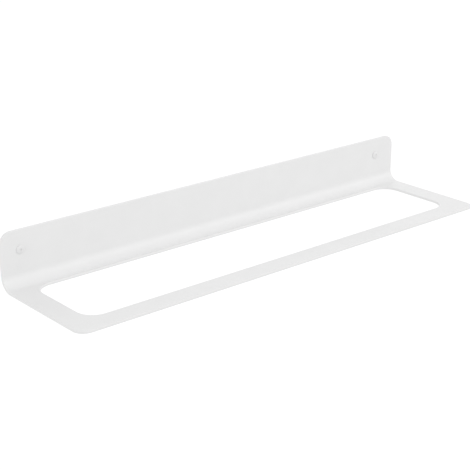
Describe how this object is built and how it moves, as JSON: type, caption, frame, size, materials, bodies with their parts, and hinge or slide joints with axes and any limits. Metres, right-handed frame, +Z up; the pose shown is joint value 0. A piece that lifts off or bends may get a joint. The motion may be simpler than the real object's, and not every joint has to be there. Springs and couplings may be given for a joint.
{
  "type": "towel rail shelf",
  "caption": "Wall-mounted towel rail shelf folded from one white steel sheet, with a long rounded opening in the level leaf and a screw and wall plug near each end.",
  "frame": {"origin": "on the wall's face, midway along the rail and level with the two fixings", "axes": "+X along the rail to the right as seen from the room, +Y into the wall, +Z up"},
  "size_m": [0.6, 0.187, 0.065],
  "materials": {
    "white_powder_coat": "fine satin white powder coat on steel sheet",
    "white_lacquered_steel": "white lacquered head, zinc plated shank",
    "grey_nylon": "moulded nylon"
  },
  "bodies": {
    "root": {"rail_plate": "white_powder_coat", "screw_left": "white_lacquered_steel", "screw_right": "white_lacquered_steel", "wall_plug_left": "grey_nylon", "wall_plug_right": "grey_nylon"}
  },
  "joints": []
}
